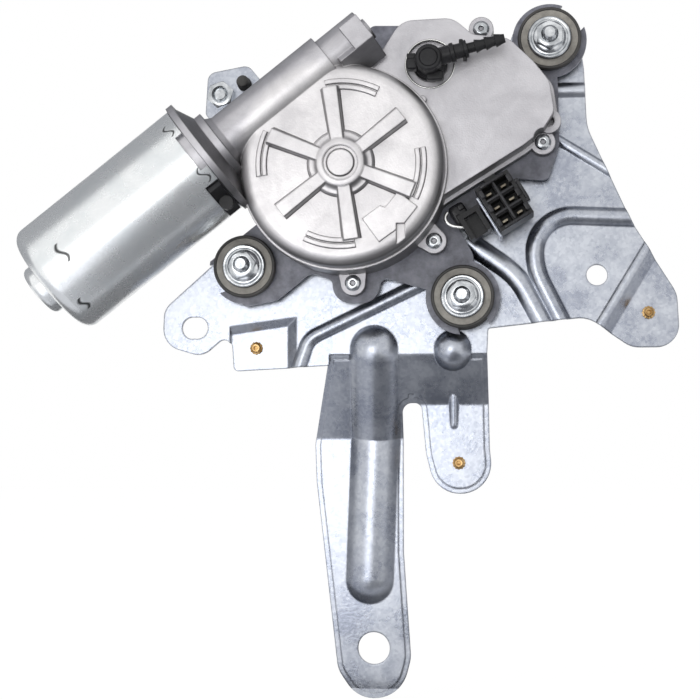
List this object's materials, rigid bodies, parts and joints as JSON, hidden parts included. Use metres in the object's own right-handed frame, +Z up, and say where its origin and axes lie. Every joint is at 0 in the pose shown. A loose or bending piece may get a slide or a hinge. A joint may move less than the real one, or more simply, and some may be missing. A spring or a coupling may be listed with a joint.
{
  "type": "wiper motor",
  "caption": "Rear window wiper motor: can motor, die-cast worm gear housing with geared output spindle, on a beaded sheet-steel bracket with rubber mounts.",
  "frame": {"origin": "on the output spindle's axis, level with the back face of the long foot", "axes": "+Y along the spindle towards the wiper arm, +Z up in the picture, +X to the right in the picture"},
  "size_m": [0.2646, 0.1016, 0.2826],
  "materials": {
    "zinc_sheet": "bright zinc-plated pressed sheet",
    "cast_aluminium": "as-cast, fine grain",
    "can_steel": "satin zinc-plated drawn steel",
    "bright_steel": "bright plated",
    "core_steel": "laminated sheet",
    "black_plastic": "moulded, slightly glossy",
    "black_rubber": "matt",
    "white_nylon": "moulded nylon",
    "sintered_bronze": "oil-filled sintered",
    "brass": "yellow plated",
    "copper": "enamelled or bare copper",
    "magnet": "ferrite",
    "carbon": "pressed carbon"
  },
  "bodies": {
    "base": {"mounting_bracket": "zinc_sheet", "gear_housing": "cast_aluminium", "carrier_plate": "black_plastic", "case_gasket": "black_rubber", "motor_can": "can_steel", "rear_bush": "sintered_bronze", "front_bearing": "bright_steel", "field_magnets": "magnet", "brush_holder": "black_plastic", "carbon_brushes": "carbon", "brush_springs": "bright_steel", "wheel_axle": "bright_steel", "wheel_thrust_washer": "bright_steel", "wheel_clip": "bright_steel", "sector_pin": "bright_steel", "front_spindle_bush": "sintered_bronze", "spindle_tube": "cast_aluminium", "spindle_bushes": "sintered_bronze", "spindle_seal": "black_rubber", "washer_elbow": "black_plastic", "rubber_grommets": "black_rubber", "mount_sleeves": "bright_steel", "bracket_studs": "bright_steel", "mount_washers": "bright_steel", "mount_nuts": "bright_steel", "case_screws": "bright_steel", "locating_pins": "brass", "lug_nut": "bright_steel", "lug_buffer": "black_rubber", "connector_housing": "black_plastic", "connector_terminals": "brass", "harness_clip": "black_plastic", "connector_holder": "zinc_sheet"},
    "armature": {"worm_shaft": "bright_steel", "armature_core": "core_steel", "armature_windings": "copper", "commutator": "copper"},
    "wheel": {"worm_wheel": "white_nylon", "crank_pin": "bright_steel"},
    "rod": {"connecting_rod": "bright_steel"},
    "sector": {"sector_gear": "bright_steel", "lever_pin": "bright_steel"},
    "output": {"output_spindle": "bright_steel", "output_pinion": "bright_steel"}
  },
  "joints": [
    {"name": "armature_spin", "type": "hinge", "parent": "base", "child": "armature", "pos_m": [-0.0578, -0.04225, -0.01145], "axis": [0.7869, 0, 0.617], "continuous": true},
    {"name": "wheel_spin", "type": "hinge", "parent": "base", "child": "wheel", "pos_m": [-0.0345, -0.04225, -0.0412], "axis": [0, 1, 0], "continuous": true},
    {"name": "rod_pivot", "type": "hinge", "parent": "wheel", "child": "rod", "pos_m": [-0.02668, -0.0365, -0.04048], "axis": [0, 1, 0], "continuous": true},
    {"name": "spindle_sweep", "type": "hinge", "parent": "base", "child": "output", "pos_m": [0, 0, 0], "axis": [0, -1, 0], "range_deg": [0, 110]},
    {"name": "sector_swing", "type": "hinge", "parent": "base", "child": "sector", "pos_m": [-0.01733, -0.03175, -0.0207], "axis": [0, 1, 0], "range_deg": [0, 46.33]}
  ],
  "couplings": [
    {"joint": "wheel_spin", "follows": "armature_spin", "ratio": -0.016667},
    {"joint": "rod_pivot", "follows": "armature_spin", "ratio": 0.016667},
    {"joint": "sector_swing", "follows": "spindle_sweep", "ratio": 0.42105}
  ]
}
